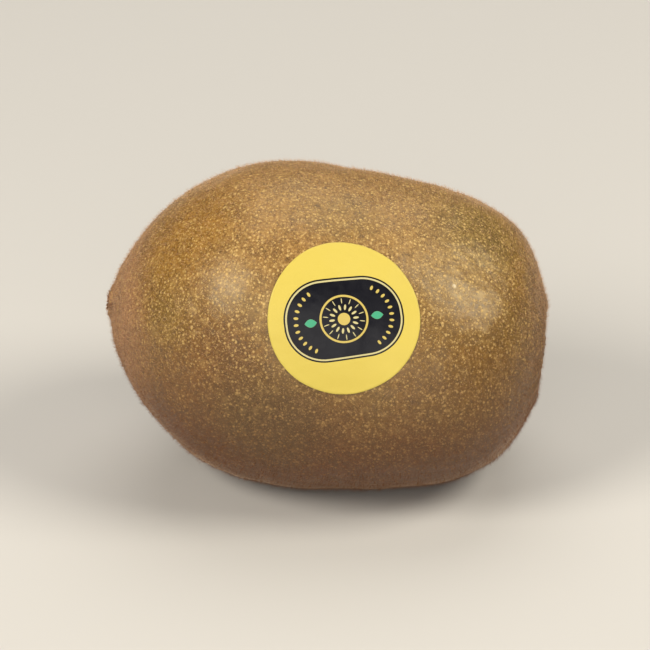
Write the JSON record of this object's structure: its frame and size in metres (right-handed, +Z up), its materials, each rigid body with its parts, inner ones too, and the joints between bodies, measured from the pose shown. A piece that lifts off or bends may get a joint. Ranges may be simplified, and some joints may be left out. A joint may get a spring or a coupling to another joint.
{
  "type": "golden kiwi fruit",
  "caption": "Whole unpeeled golden kiwi fruit lying on its side, egg-shaped with brown skin, dried calyx and style ends and a round stuck-on label.",
  "frame": {"origin": "middle of the small flat spot that the fruit rests on", "axes": "+Z up, +X along the fruit's long axis towards the blunt stalk end (the axis leans 5.3 degrees down towards +X), -Y towards the label's side"},
  "size_m": [0.0705, 0.0541, 0.0505],
  "materials": {
    "brown_skin": "dry satin skin with fine speckle and very short fuzz",
    "dry_calyx": "dry, matte, woody",
    "dry_styles": "dry, matte, fibrous",
    "yellow_label": "satin printed film"
  },
  "bodies": {
    "root": {"fruit_body": "brown_skin", "stalk_calyx": "dry_calyx", "stylar_remains": "dry_styles", "label": "yellow_label"}
  },
  "joints": []
}
